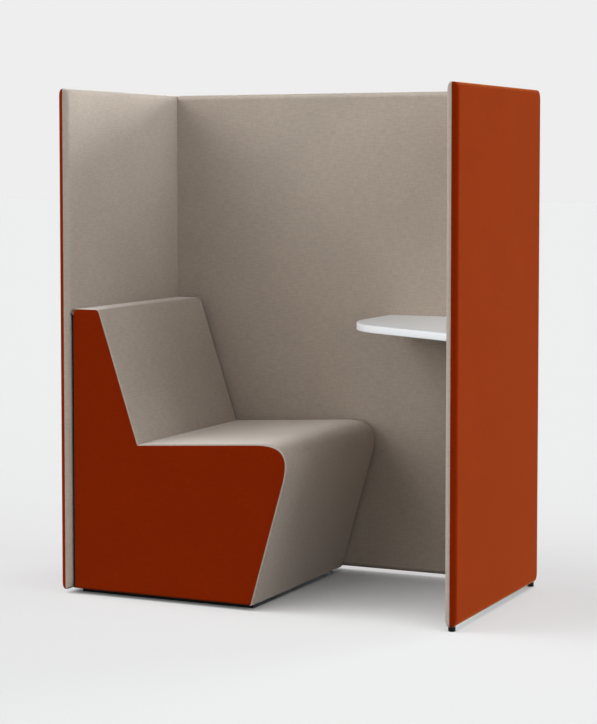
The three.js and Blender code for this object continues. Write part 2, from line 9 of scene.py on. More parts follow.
import bpy
import numpy as np
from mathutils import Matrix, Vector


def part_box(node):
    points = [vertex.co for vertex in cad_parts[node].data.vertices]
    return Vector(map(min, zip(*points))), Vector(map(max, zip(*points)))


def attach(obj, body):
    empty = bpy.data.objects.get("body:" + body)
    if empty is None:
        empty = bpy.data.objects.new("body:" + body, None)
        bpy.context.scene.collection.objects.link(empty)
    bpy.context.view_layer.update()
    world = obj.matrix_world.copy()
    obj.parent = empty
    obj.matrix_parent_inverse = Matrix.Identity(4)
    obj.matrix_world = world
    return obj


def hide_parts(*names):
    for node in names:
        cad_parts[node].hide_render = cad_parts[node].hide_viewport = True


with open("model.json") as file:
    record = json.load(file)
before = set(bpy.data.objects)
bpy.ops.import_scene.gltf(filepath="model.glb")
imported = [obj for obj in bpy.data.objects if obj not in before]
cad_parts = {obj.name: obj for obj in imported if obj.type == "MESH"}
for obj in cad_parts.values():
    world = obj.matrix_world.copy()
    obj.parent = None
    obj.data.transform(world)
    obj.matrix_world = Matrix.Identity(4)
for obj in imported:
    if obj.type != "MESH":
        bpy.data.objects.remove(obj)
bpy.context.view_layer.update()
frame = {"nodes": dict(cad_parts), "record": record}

MM = 0.001

# Screens
COVER_INSET = 0.15  # a cover inside its solid's outline, so that the feet's sockets stand flush
SEAM_DEPTH = 0.2  # how far a cover rolls into its seam
SEAM_ROLL = 0.6  # the width of that roll
CORE_HALF = 8.3  # half a screen's core board, with its gap
CORE_INSET = 8.7  # the core's edge inside a screen's outline, less its gap
CORE_CORNER_R = 0.4
SCREEN_EDGE_R = 15.0  # from a cover's edge to its face
SCREEN_CORNER_R = 6.0  # at the corners of its outline
REAR_END_R = 0.5  # both of these on the rear screen, which ends square against the other two
SCREEN_RELIEF = 0.25  # unevenness of the foam under a screen's cover
SCREEN_WAVES = (310.0, 430.0)  # its lengths along the screen and up it
FACE_SEAM = 200.0  # added to the seam distance in the flat of a cover, which has no puckers
GRID = 16.0  # about the length of a face in the flat of a cover
ROLL_STEPS = 6  # faces in the roll into a seam
ROUND_STEPS = 10  # faces in the round from the edge to the face
CORNER_STEPS = 5  # faces in half of a rounded corner
SLOWER = 2.7  # length of the slow waves of any unevenness, in lengths of the quick ones
SLOW_PHASE = 2.0

# Lounge seat, seen from its side
BACK_HEIGHT = 797.5
BACK_TOP_DEPTH = 90.0
BACK_LEAN = math.radians(18.3)
CREASE_HEIGHT = 430.0
SEAT_TILT = math.radians(3.35)
SEAT_REACH = 682.6
FRONT_UNDERCUT = math.radians(15.9)
NOSE_R = 84.0
NOSE_FULLNESS = 2.15
BACK_TOP_FRONT_R = 15.0
BACK_TOP_REAR_R = 17.0
TOP_SETTLE = 3.0  # how far the back's top has settled under its solid
TOP_ROLL = 0.25  # its roll to the seams, as a share of the rolled edge
SEAT_FOAM = 60.0
BACK_FOAM = 40.0
TOP_FOAM = 20.0
FRONT_FOAM = 16.0
UNDER_R = 5.0  # the cover's turn under the seat's front
LIP_R = 4.0  # rounding of either cushion into the crease
UNDER_TUCK = 0.4  # a cover's last row, as a share of the way from its board to the rounding before it
LIP_TUCK = 0.3
HEEL_TUCK = 0.5

# Cushions, across the seat
CROWN = 1.5
CUSHION_RELIEF = 0.175  # unevenness of the foam at the crown's height
CUSHION_WAVES = (190.0, 240.0)  # its lengths along the cover and across the seat
SEAT_QUIET = (60.0, 90.0)  # how far from the front and from the crease the crown dies out
BACK_QUIET = (90.0, 60.0)  # how far from the crease and from the rear it does
ROLLED_EDGE = 4.0
ROLLED_TURN = math.radians(86)  # of the rolled edge, down to the seam
SEAM_GAP = 0.3
SEAM_TUCKS = np.array([2.0, 0.6])  # depths of the rows inside a seam

# Padded sides of the seat
SIDE_EDGE_R = 6.0
SIDE_SEAM_R = 1.3
SIDE_DROPS = (SIDE_EDGE_R, 3.0, 2.2, 1.6, SIDE_SEAM_R, 0.9, 0.6, 0.35, 0.15, 0.04, 0.0)  # its loops' depths
SIDE_REAR_SETBACK = 6.5  # a side's rear edge, in front of the seat's rear
SIDE_CREASE_R = 5.0
SIDE_PLAY = 0.05  # between a side and the cushions' rolled edges
SIDE_SWELL = 0.8  # of the thin padding
SWELL_RISE = 2.5  # how fast that swell rises from the edges
EDGE_SEAM = 1.0  # seam distance on a side's edges
SIDE_SEAM = 40.0  # added to it in the middle of a side

# Faces along the cushions and the sides: in rounded corners, and in the straight runs between them
UNDER_STEPS = 6
NOSE_STEPS = 36
LIP_STEPS = 8
FOLD_STEPS = 6
RIDGE_STEPS = 12
HEEL_STEPS = 10
ROLLED_STEPS = 8
FRONT_RUN = 26
PAN_RUN = 28
BACK_RUN = 30
TOP_RUN = 8
WIDTH_RUN = 44
SIDE_FRONT_RUN = 24
SIDE_PAN_RUN = 26
SIDE_BACK_RUN = 24
SIDE_TOP_RUN = 6
NOSE_ROW, CREASE_ROW = 42, 90  # rows of a side's front edge at the nose and by the crease
NOSE_LEVEL, CREASE_LEVEL = 0.42, 0.53  # where they end on its rear edge, as shares of its height

# Shelf table
TABLE_LENGTH = 409.0
TABLE_SIDE_DEPTH = 575.0
TABLE_END_DEPTH = 342.0
TABLE_NOSE_R = 252.0
TABLE_REAR_R = 12.0
TABLE_EDGE_R = 1.0
TABLE_NOSE_STEPS = 48
TABLE_REAR_STEPS = 12
TABLE_EDGE_STEPS = 4
TABLE_REAR_RUN = 36
TABLE_END_RUN = 8
EDGING_END = 1.0  # seam value where the edging ends
EDGING_LINE = 1.2  # and in the middle of the hair line beside it
EDGING_LINE_HALF = 0.25
FACE_START = 2.4  # and where a face starts

# Levelling feet
FOOT_R = 10.0
FOOT_BOTTOM_R = 3.5
FOOT_TOP_R = 0.6
FOOT_STEPS = 8
FOOT_SIDES = 64
STEM_R = 4.0
THREAD_PITCH = 1.25
THREAD_DEPTH = 0.6
THREAD_PLAY = 0.05  # the thread inside its solid
THREAD_TAPER = 1.0  # length over which it runs out at either end
THREAD_STEPS = 8  # in a turn's height
THREAD_SIDES = 36

# Cloth, in millimetres and in features per millimetre along X, Y and Z of its map
CLOTH_MAP = "Cloth"
SEAM_VALUE = "seam"
THREAD = 1.15  # from one thread of the weave to the next
THREAD_DIP = 0.55  # share of a thread's height that it loses under the other one
WARP_STREAKS = (0.35, 0.04, 1.0)
WEFT_STREAKS = (0.04, 0.25, 1.0)
WEFT_UNDER, WEFT_OVER = 0.3, 0.8  # the weft's share of the tone, with the warp or the weft on top
FIBRES = (2.5, 2.5, 1.0)
CLOUDS = (0.006, 0.006, 1.0)
PUCKERS = (0.14, 0.14, 1.0)
PUCKER_FADE = 0.8  # for each millimetre from the seam
# WEAVE_SHADE is painted shade: thread tops lighter and the gaps between threads darker
STREAK_TONE, FIBRE_TONE, CLOUD_TONE, WEAVE_SHADE = 1.4, 0.8, 0.3, 0.5
VALLEY_SHADE = 0.2  # the share in the gaps between threads, where the painted shade makes the weave darkest
WEAVE_HEIGHT, FIBRE_HEIGHT, PUCKER_HEIGHT = 0.10, 0.05, 0.5
CLOTH_ROUGH = 0.8

# Other surfaces: grain in features per millimetre, and roughness
ROUGH_SPAN = 0.2
COAT_CLOUDS = 0.02
PEEL = 0.5
LAMINATE_CLOUDS = 0.012
LAMINATE_ROUGH = 0.36
CHIPS = 0.35
CHIP_TONES = 0.3
CHIP_HEIGHT = 0.15  # in millimetres

# Colours
TAUPE = (0.443, 0.372, 0.309)
RUST = (0.220, 0.0166, 0.0013)
WHITE = (0.83, 0.83, 0.825)
BLACK = (0.004, 0.004, 0.004)
ZINC = (0.62, 0.64, 0.66)
COATING = (0.78, 0.78, 0.77)
WOOD = (0.52, 0.38, 0.23)
# painted shade: the seat's carcass boards near black, for the shadowed slot behind the seat's side by the
# left screen
PAINTED_GAP_SHADE = (0.02, 0.016, 0.013)
PALE_SHEEN = (1.0, 0.92, 0.84)
WARM_SHEEN = (1.0, 0.46, 0.15)

# Floor, backdrop and light
FLOOR_HALF = 60.0  # in metres
FLOOR = (0.322, 0.312, 0.299)  # its warmth makes up for the cool light
FLOOR_GLOW = 0.51  # keeps the shadows on the floor pale
SHADOW_REACH = 1.0  # of the darker floor beside the object, in metres
SHADOW_SAMPLES = 16
OPEN_SHARE = 0.54  # of open space over the floor, from which on its glow is full
BACKGROUND = 0.855  # as bright as the open floor
LAMP_SPREAD = math.radians(40)
NEUTRAL = (1.0, 1.0, 1.0)
COOL = (0.95, 1.0, 1.06)  # from the sides and from above

# Camera
SENSOR_WIDTH = 36.0
LENS = 102.203
LENS_SHIFT = (-0.003515, -0.093048)
CAMERA_PLACE = (2.41768, -5.18115, 1.18474)  # in metres
CAMERA_TILT = math.radians(86.4509)  # up from looking straight down
CAMERA_TURN = math.radians(25.0308)  # from looking along +Y, towards -X


# Skins: arrays of rows, each a vertex as x, y, z, its place on the cloth, and its distance from a seam


def quads(numbers):
    """Faces between neighbouring rows and columns of an array of vertex numbers."""
    corners = [numbers[:-1, :-1], numbers[1:, :-1], numbers[1:, 1:], numbers[:-1, 1:]]
    return np.stack(corners, -1).reshape(-1, 4)


def level(loop, axis, height, on_cloth, seam):
    """Rows of a flat loop, with its height as their coordinate on an axis."""
    return np.column_stack([np.insert(loop, axis, height, axis=1), on_cloth, np.full(len(loop), seam)])


def loop_sides(loop, across, up):
    """A loop's four sides, each running the same way as the one opposite it."""
    turn = 2 * across + up
    bottom = loop[: across + 1]
    right = loop[across : across + up + 1]
    top = loop[across + up : turn + 1][::-1]
    left = np.concatenate([loop[turn:], loop[:1]])[::-1]
    return bottom, right, top, left


def filled(loop, across, up):
    """A grid inside a loop: the rulings between either pair of opposite sides added, less the bilinear
    blend of its four corners."""
    bottom, right, top, left = loop_sides(loop, across, up)
    u = np.linspace(0, 1, across + 1)[:, None, None]
    v = np.linspace(0, 1, up + 1)[None, :, None]
    ruled = (1 - v) * bottom[:, None] + v * top[:, None] + (1 - u) * left + u * right
    corners = (1 - v) * ((1 - u) * bottom[0] + u * bottom[-1]) + v * ((1 - u) * top[0] + u * top[-1])
    return ruled - corners


def closed_panel(rings, across, up, relief=None):
    """A closed skin: rings of rows joined in turn, with the first and the last one filled. The relief is
    added to the rows inside the last one."""
    numbers = np.arange(rings.shape[0] * rings.shape[1]).reshape(rings.shape[:2])
    faces = [quads(np.hstack([numbers, numbers[:, :1]]))]
    rows = [rings.reshape(-1, rings.shape[-1])]
    first = numbers.size
    for end in (0, -1):
        inside = filled(rings[end], across, up)[1:-1, 1:-1]
        if end and relief is not None:
            inside = inside + relief(inside)
        grid = np.empty((across + 1, up + 1), int)
        grid[:, 0], grid[-1], grid[:, -1], grid[0] = loop_sides(numbers[end], across, up)
        grid[1:-1, 1:-1] = first + np.arange(inside[..., 0].size).reshape(inside.shape[:2])
        first += inside[..., 0].size
        rows.append(inside.reshape(-1, inside.shape[-1]))
        faces.append(quads(grid)[:, ::-1] if end else quads(grid))
    return np.concatenate(rows), np.concatenate(faces)


def make_piece(name, skin, finish, slot, body, *nodes):
    """A piece from a closed skin, turned so that its volume is positive, in place of the nodes."""
    rows, faces = skin
    points = rows[:, :3] * MM
    a, b, c, d = (points[faces[:, k]] for k in range(4))
    if np.einsum("ij,ij->", a, np.cross(b, c) + np.cross(c, d)) < 0:
        faces = faces[:, ::-1]
    mesh = bpy.data.meshes.new(name)
    mesh.from_pydata(points.tolist(), [], faces.tolist())
    mesh.uv_layers.new(name=CLOTH_MAP).data.foreach_set("uv", (rows[faces.ravel(), 3:5] * MM).ravel())
    mesh.attributes.new(SEAM_VALUE, "FLOAT", "POINT").data.foreach_set("value", rows[:, 5].copy())
    mesh.shade_smooth()
    mesh.materials.append(finish)
    made = bpy.data.objects.new(name, mesh)
    bpy.context.scene.collection.objects.link(made)
    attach(made, body)
    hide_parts(*nodes)
    return made


def cad_box(node):
    """Lowest and highest corner of a node, in millimetres."""
    return tuple(np.array(corner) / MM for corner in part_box(node))


def swells(along, across, lengths):
    """Slow waves over two coordinates, from -1 to 1: for either one the mean of a sine of its length and of a
    slower sine, and the product of both means."""
    means = []
    for k, (t, length) in enumerate(zip((along, across), lengths)):
        quick = np.sin(t * 2 * np.pi / length + k)
        slow = np.sin(t * 2 * np.pi / (SLOWER * length) + SLOW_PHASE)
        means.append((quick + slow) / 2)
    return means[0] * means[1]


def window(values):
    """From 0 at the least and the greatest value to 1 at the middle, as the root of a half sine."""
    share = (values - values.min()) / np.ptp(values)
    return np.sqrt(np.sin(np.pi * share))


def circle(angles):
    """Points at some angles on a circle of radius 1."""
    return np.stack([np.cos(angles), np.sin(angles)], -1)


# Materials


class Shade:
    """An output of a node. Arithmetic on it adds Math nodes."""

    def __init__(self, tree, socket=None):
        self.tree = tree
        self.socket = socket

    def node(self, kind, settings=None, sockets=None, out=0):
        """An output of a new node, whose settings are set first, and then its sockets' values or links."""
        made = self.tree.nodes.new(kind)
        for name, value in (settings or {}).items():
            setattr(made, name, value)
        for name, value in (sockets or {}).items():
            if isinstance(value, Shade):
                self.tree.links.new(value.socket, made.inputs[name])
            else:
                made.inputs[name].default_value = value
        return Shade(self.tree, made.outputs[out])

    def math(self, operation, *values):
        """A Math node's result for numbers and outputs."""
        return self.node("ShaderNodeMath", {"operation": operation}, dict(enumerate(values)))

    def __add__(self, other):
        return self.math("ADD", self, other)

    def __sub__(self, other):
        return self.math("SUBTRACT", self, other)

    def __rsub__(self, other):
        return self.math("SUBTRACT", other, self)

    def __mul__(self, other):
        return self.math("MULTIPLY", self, other)

    def __truediv__(self, other):
        return self.math("DIVIDE", self, other)

    def __rpow__(self, other):
        return self.math("POWER", other, self)

    __radd__ = __add__
    __rmul__ = __mul__


def material(name, constants, changing):
    """A material with constant sockets, and with those that changing(start) gives as nodes."""
    made = bpy.data.materials.new(name)
    made.use_nodes = True
    shader = made.node_tree.nodes["Principled BSDF"]
    for socket, value in constants.items():
        shader.inputs[socket].default_value = value
    for socket, value in changing(Shade(made.node_tree)).items():
        made.node_tree.links.new(value.socket, shader.inputs[socket])
    return made


def noise(place, scale, detail=2.0):
    """Noise from about 0.3 to 0.7, with one scale or one for each coordinate, in features per millimetre."""
    scales = (np.broadcast_to(scale, 3) / MM).tolist()
    spread = place.node("ShaderNodeMapping", sockets={"Vector": place, "Scale": scales})
    return place.node("ShaderNodeTexNoise", sockets={"Vector": spread, "Scale": 1.0, "Detail": detail})


def in_space(start):
    """A point's coordinates on its object, in metres."""
    return start.node("ShaderNodeTexCoord", out="Object")


def seam_distance(start):
    """The seam value of the skin."""
    return start.node("ShaderNodeAttribute", {"attribute_name": SEAM_VALUE}, out="Fac")


def between(share, dark, light):
    """The colour that lies a share of the way from dark to light."""
    # The node has sockets of the same name for other kinds of data, so those for colours go by number.
    sockets = {0: share, 6: (*dark, 1.0), 7: (*light, 1.0)}
    return share.node("ShaderNodeMix", {"data_type": "RGBA"}, sockets, out=2)


def raised(height):
    """A normal from a height in millimetres."""
    return height.node("ShaderNodeBump", sockets={"Height": height, "Distance": MM, "Strength": 1.0})


def tones(colour, spread):
    """A colour made darker and lighter by a share."""
    return [[c * (1 - spread) for c in colour], [c * (1 + spread) for c in colour]]


def cloth(start, colour, spread):
    """A plain weave. Warp and weft are rounded threads that take turns on top, each thread a little lighter
    or darker along its length, with loose fibres over both and puckers beside a seam. Painted shade makes
    the threads' tops lighter and the gaps between them darker."""
    place = start.node("ShaderNodeUVMap", {"uv_map": CLOTH_MAP})
    split = start.node("ShaderNodeSeparateXYZ", sockets={0: place})
    turns = []
    rounds = []
    for axis in ("X", "Y"):
        threads = Shade(start.tree, split.socket.node.outputs[axis]) / (THREAD * MM)
        turns.append(start.math("FLOOR", threads))
        middle = start.math("FRACT", threads) - 0.5
        rounds.append(1 - middle * middle * 4)
    on_top = start.math("FLOORED_MODULO", turns[0] + turns[1], 2.0)
    warp = rounds[0] * (rounds[1] * THREAD_DIP + (1 - THREAD_DIP))
    weft = rounds[1] * (rounds[0] * THREAD_DIP + (1 - THREAD_DIP))
    weave = warp + (weft - warp) * on_top
    warp_tone = noise(place, WARP_STREAKS, detail=3.0)
    weft_tone = noise(place, WEFT_STREAKS, detail=3.0)
    streaks = warp_tone + (weft_tone - warp_tone) * (on_top * (WEFT_OVER - WEFT_UNDER) + WEFT_UNDER)
    fibres = noise(place, FIBRES)
    clouds = noise(place, CLOUDS)
    tone = (streaks - 0.5) * STREAK_TONE + (fibres - 0.5) * FIBRE_TONE + (clouds - 0.5) * CLOUD_TONE
    # painted shade: lighter on the threads' tops and darker in the gaps between them, after the weave's
    # height
    share = tone + weave * WEAVE_SHADE + VALLEY_SHADE
    puckers = noise(place, PUCKERS) * (PUCKER_FADE ** seam_distance(start))
    return {
        "Base Color": between(share, *tones(colour, spread)),
        "Roughness": fibres * ROUGH_SPAN + CLOTH_ROUGH,
        "Normal": raised(weave * WEAVE_HEIGHT + fibres * FIBRE_HEIGHT + puckers * PUCKER_HEIGHT),
    }


def coarse(start, colour, spread, grain, depth, rough):
    """A moulded or coated surface: colour and gloss change a little over a fine grain of some depth."""
    place = in_space(start)
    fine = noise(place, grain, detail=3.0)
    slow = noise(place, COAT_CLOUDS)
    return {
        "Base Color": between(fine * 0.6 + slow * 0.4, *tones(colour, spread)),
        "Roughness": (slow - 0.5) * ROUGH_SPAN + (fine - 0.5) * ROUGH_SPAN + rough,
        "Normal": raised(fine * depth),
    }


def chipboard(start, colour, spread):
    """Pressed chips: flat cells of many tones, finer ones over larger ones."""
    place = in_space(start)
    chips = start.node("ShaderNodeTexVoronoi", sockets={"Vector": place, "Scale": CHIPS / MM})
    share = chips * 0.6 + noise(place, CHIP_TONES, detail=4.0) * 0.6
    return {"Base Color": between(share, *tones(colour, spread)), "Normal": raised(share * CHIP_HEIGHT)}


def laminate(start, colour, spread):
    """White laminate: a slight orange peel, faint clouds, an edging painted brighter than the faces as
    painted light, for the light that the edge catches more than the top, and a hair line where the edging
    meets the faces."""
    place = in_space(start)
    peel = noise(place, PEEL)
    slow = noise(place, LAMINATE_CLOUDS)
    edge = seam_distance(start)
    line = start.math("COMPARE", edge, EDGING_LINE, EDGING_LINE_HALF)
    edging = start.math("LESS_THAN", edge, EDGING_END)
    # painted light: the edging is lighter than the faces, for the light that the edge catches
    share = slow * 0.3 + peel * 0.15 + edging * 0.6 - line * 0.5
    return {
        "Base Color": between(share, *tones(colour, spread)),
        "Roughness": (slow - 0.5) * 0.25 + peel * 0.1 + LAMINATE_ROUGH,
        "Normal": raised(peel * 0.03 - line * 0.1),
    }


def nap(weight, rough, tint):
    """The constant sockets of a cloth whose loose fibres catch the light where it is seen at a slant."""
    sheen = {"Sheen Weight": weight, "Sheen Roughness": rough, "Sheen Tint": (*tint, 1.0)}
    return {"Specular IOR Level": 0.0, **sheen}


taupe_cloth = material(
    "taupe_cloth", nap(weight=1.0, rough=0.25, tint=PALE_SHEEN), lambda s: cloth(s, TAUPE, spread=0.2)
)
rust_cloth = material(
    "rust_cloth", nap(weight=0.42, rough=0.35, tint=WARM_SHEEN), lambda s: cloth(s, RUST, spread=0.2)
)
white_laminate = material("white_laminate", {}, lambda s: laminate(s, WHITE, spread=0.08))
black_laminate = material(
    "black_laminate", {"Specular IOR Level": 0.15},
    lambda s: coarse(s, BLACK, spread=0.3, grain=1.2, depth=0.02, rough=0.7),
)
black_plastic = material(
    "black_plastic", {"Specular IOR Level": 0.2},
    lambda s: coarse(s, BLACK, spread=0.25, grain=2.0, depth=0.04, rough=0.45),
)
zinc = material(
    "zinc", {"Metallic": 1.0}, lambda s: coarse(s, ZINC, spread=0.15, grain=0.8, depth=0.02, rough=0.35)
)
coated_steel = material(
    "coated_steel", {}, lambda s: coarse(s, COATING, spread=0.04, grain=0.9, depth=0.06, rough=0.5)
)
board = material("board", {"Roughness": 0.85}, lambda s: chipboard(s, WOOD, spread=0.35))
# painted shade: the seat's carcass boards are near black where their edges show in the shadowed slot by the
# left screen
dark_board = material(
    "dark_board", {"Roughness": 0.85, "Specular IOR Level": 0.15}, lambda s: chipboard(s, PAINTED_GAP_SHADE, spread=0.35)
)


# Screens


def rounded_rectangle(low, high, radius, steps):
    """A loop of points round a rectangle, from the middle of its lower left corner's arc. Each corner is an
    arc in `arc` steps to either side of its middle, and each side is cut evenly between arcs."""
    across, up, arc = steps
    (left, bottom), (right, top) = low + radius, high - radius
    middles = np.array([(left, bottom), (right, bottom), (right, top), (left, top)])
    sides = []
    for k, cuts in enumerate((across, up, across, up)):
        angles = np.pi * (1.25 + k / 2) + np.linspace(0, np.pi / 4, arc + 1)
        leave = middles[k] + radius * circle(angles)
        arrive = middles[(k + 1) % 4] + radius * circle(angles + np.pi / 4)
        share = np.linspace(0, 1, cuts + 1)[1:-1, None]
        run = leave[-1] + share * (arrive[0] - leave[-1])
        sides += [leave, run, arrive[:-1]]
    return np.concatenate(sides)


def cover_section(thick):
    """A cover's half section, as its height over the seam and its inset: a roll out of the seam as a quarter
    of an ellipse, a straight edge, and a quarter round to the face."""
    roll = np.linspace(0, np.pi / 2, ROLL_STEPS + 1)
    turn = np.linspace(0, np.pi / 2, ROUND_STEPS + 1)
    radius = SCREEN_EDGE_R - COVER_INSET
    heights = [SEAM_ROLL * (1 - np.cos(roll)), thick - radius * (1 - np.sin(turn))]
    insets = [COVER_INSET + SEAM_DEPTH * (1 - np.sin(roll)), COVER_INSET + radius * (1 - np.cos(turn))]
    return np.concatenate(heights), np.concatenate(insets)


def screen_cover(pad, axis, side, end_r, corner_r):
    """A padded half of a screen: rings of its rounded outline, shrunk along the cover's half section, round a
    hollow for the core board. `side` is the way it faces along its axis."""
    low, high = cad_box(pad)
    plane = 1 - axis
    seam, face = (low[axis], high[axis]) if side > 0 else (high[axis], low[axis])
    corner_low, corner_high = low[[plane, 2]], high[[plane, 2]]
    steps = (*np.maximum(np.round((corner_high - corner_low) / GRID), 1).astype(int), CORNER_STEPS)
    heights, insets = cover_section(abs(face - seam))
    lengths = np.concatenate([[0], np.cumsum(np.hypot(np.diff(heights), np.diff(insets)))])
    to_ends = np.array([end_r / SCREEN_EDGE_R, 1.0])

    def outline(inset):
        """The cover's outline, moved in by its share of the inset at the ends and by all of it elsewhere."""
        radius = corner_r + inset * to_ends[0]
        return rounded_rectangle(corner_low + inset * to_ends, corner_high - inset * to_ends, radius, steps)

    def relief(rows):
        """Slow hollows that fade out towards the edges, and a seam distance with no puckers."""
        hollows = swells(rows[..., 1], rows[..., 2], SCREEN_WAVES) - 1
        fade = window(rows[..., 1]) * window(rows[..., 2])
        from_edge = np.minimum.outer(np.arange(rows.shape[0]), np.arange(rows.shape[1]))
        lift = np.zeros(rows.shape)
        lift[..., 0] = SCREEN_RELIEF * hollows * fade * np.minimum(1, from_edge / CORNER_STEPS)
        lift[..., 5] = FACE_SEAM
        return lift

    edge = outline(insets[-1])
    outward = outline(0.0) - edge
    outward /= np.linalg.norm(outward, axis=1, keepdims=True)
    core = rounded_rectangle(corner_low + CORE_INSET, corner_high - CORE_INSET, CORE_CORNER_R, steps)
    rings = [level(core, 0, height, core, lengths[-1]) for height in (CORE_HALF, 0.0)]
    for height, inset, length in zip(heights, insets, lengths):
        rings.append(level(outline(inset), 0, height, edge + outward * (lengths[-1] - length), length))
    across, up = steps[0] + 2 * CORNER_STEPS, steps[1] + 2 * CORNER_STEPS
    rows, faces = closed_panel(np.array(rings), across, up, relief)
    placed = rows.copy()
    placed[:, axis] = seam + side * rows[:, 0]
    placed[:, plane] = rows[:, 1]
    return placed, faces


for screen, axis, inward in (("left", 0, 1), ("rear", 1, -1), ("right", 0, -1)):
    radii = (REAR_END_R, REAR_END_R) if screen == "rear" else (SCREEN_EDGE_R, SCREEN_CORNER_R)
    layers = (("inner", inward, taupe_cloth, "taupe_fabric"), ("outer", -inward, rust_cloth, "rust_fabric"))
    for layer, side, finish, slot in layers:
        pad = f"{screen}_screen_{layer}_pad"
        skin = screen_cover(pad, axis, side, *radii)
        cover = make_piece(f"{screen}_{layer}_cover", skin, finish, slot, "pod", pad)


# Lounge seat: its side view, from lines given as the X and Z of their outward way and their reach along it


def straight(angle, through):
    """The line through a point, whose outward way is at an angle from +X."""
    way = np.array([math.cos(angle), math.sin(angle)])
    return (*way, way @ through)


def shifted(line, by):
    """A line moved outward, by one distance or by an array of them."""
    return (line[0], line[1], line[2] + by)


def meet(a, b):
    """The point on two lines: their two equations way . p = reach, solved by Cramer's rule."""
    det = a[0] * b[1] - a[1] * b[0]
    x = (a[2] * b[1] - b[2] * a[1]) / det
    z = (a[0] * b[2] - b[0] * a[2]) / det
    return np.stack(np.broadcast_arrays(x, z), -1)


def way_to(start, end):
    """Unit vectors from start to end."""
    span = end - start
    return span / np.linalg.norm(span, axis=-1, keepdims=True)


def soft_corner(before, at, after, radius, steps, fullness=1.0):
    """A corner as a rational quadratic curve that is tangent to both sides. Its weight is the sine of half
    the corner's angle for a round arc, times the fullness."""
    to_before, to_after = way_to(at, before), way_to(at, after)
    half = np.arccos(np.sum(to_before * to_after, -1, keepdims=True)) / 2
    reach = np.reshape(radius, np.shape(radius) + (1,)) / np.tan(half)
    weight = np.sin(half) * fullness
    t = np.linspace(0, 1, steps + 1).reshape(-1, *[1] * at.ndim)
    a, b, c = (1 - t) ** 2, 2 * weight * t * (1 - t), t**2
    return (a * (at + reach * to_before) + b * at + c * (at + reach * to_after)) / (a + b + c)


def run_between(start, end, steps):
    """Even steps between two points, without the points themselves."""
    t = (np.arange(1, steps) / steps).reshape(-1, *[1] * start.ndim)
    return start + t * (end - start)


def partway(start, end, share):
    """One point, a share of the way from start to end."""
    return (start + share * (end - start))[None]


near_low, near_high = cad_box("seat_near_side_pad")
far_low, far_high = cad_box("seat_far_side_pad")
rear_x, seat_bottom = cad_box("seat_back_pad")[0][0], near_low[2]
near_y, far_y = near_low[1], far_high[1]
near_inner_y, far_inner_y = near_high[1], far_low[1]

BOTTOM = straight(math.pi / 2, np.array([0, seat_bottom]))
REAR = straight(0, np.array([rear_x, 0]))
TOP = straight(math.pi / 2, np.array([0, BACK_HEIGHT]))
BACK = straight(BACK_LEAN, np.array([rear_x + BACK_TOP_DEPTH, BACK_HEIGHT]))
PAN = straight(math.pi / 2 + SEAT_TILT, meet(BACK, straight(math.pi / 2, np.array([0, CREASE_HEIGHT]))))
FRONT = straight(-FRONT_UNDERCUT, meet(straight(0, np.array([rear_x + SEAT_REACH, 0])), PAN))
INNER_FRONT, INNER_PAN = shifted(FRONT, -FRONT_FOAM), shifted(PAN, -SEAT_FOAM)
INNER_BACK, INNER_TOP = shifted(BACK, -BACK_FOAM), shifted(TOP, -TOP_FOAM)
crease_root = meet(INNER_PAN, INNER_BACK)
crease_rise = way_to(crease_root, meet(PAN, BACK))
PARTING = straight(math.atan2(crease_rise[0], -crease_rise[1]), crease_root)


def seat_path(swell):
    """The seat cushion's outside, from under its front to the crease: turn, front, nose, top and lip. With it
    go the corners of the boards under it, and the row over the middle one."""
    front, pan = shifted(FRONT, swell), shifted(PAN, swell)
    lip_line = shifted(PARTING, -SEAM_GAP / 2)
    under = meet(BOTTOM, INNER_FRONT) + np.zeros((*np.shape(swell), 2))
    foot, nose, crease = meet(BOTTOM, front), meet(front, pan), meet(pan, lip_line)
    root = meet(INNER_PAN, lip_line)
    turn = soft_corner(under, foot, nose, UNDER_R + 0 * swell, UNDER_STEPS)
    curve = soft_corner(foot, nose, crease, NOSE_R + swell, NOSE_STEPS, NOSE_FULLNESS)
    lip = soft_corner(nose, crease, root, LIP_R + 0 * swell, LIP_STEPS)
    parts = [
        partway(under, turn[0], UNDER_TUCK), turn, run_between(turn[-1], curve[0], FRONT_RUN), curve,
        run_between(curve[-1], lip[0], PAN_RUN), lip, partway(root, lip[-1], LIP_TUCK),
    ]
    middle = len(turn) + FRONT_RUN + NOSE_STEPS // 2
    inner = (meet(BOTTOM, INNER_FRONT), meet(INNER_FRONT, INNER_PAN), root)
    return np.concatenate(parts), inner, middle


def back_path(swell):
    """The back cushion's outside, from the crease to the rear: lip, back, top corner, top and rear corner.
    With it go the corners of the boards under it, and the row over the middle one."""
    back, top = shifted(BACK, swell), shifted(TOP, swell * TOP_ROLL - TOP_SETTLE)
    lip_line = shifted(PARTING, SEAM_GAP / 2)
    root = meet(INNER_BACK, lip_line)
    crease, ridge, rear = meet(back, lip_line), meet(back, top), meet(top, REAR)
    heel = meet(INNER_TOP, REAR) + np.zeros((*np.shape(swell), 2))
    lip = soft_corner(root + 0 * crease, crease, ridge, LIP_R + 0 * swell, LIP_STEPS)
    front_corner = soft_corner(crease, ridge, rear, BACK_TOP_FRONT_R + swell, RIDGE_STEPS)
    rear_corner = soft_corner(ridge, rear, heel, BACK_TOP_REAR_R - TOP_SETTLE + swell, HEEL_STEPS)
    parts = [
        partway(root, lip[0], LIP_TUCK), lip, run_between(lip[-1], front_corner[0], BACK_RUN), front_corner,
        run_between(front_corner[-1], rear_corner[0], TOP_RUN), rear_corner,
        partway(heel, rear_corner[-1], HEEL_TUCK),
    ]
    middle = len(lip) + BACK_RUN + RIDGE_STEPS // 2
    inner = (root, meet(INNER_BACK, INNER_TOP), meet(INNER_TOP, REAR))
    return np.concatenate(parts), inner, middle


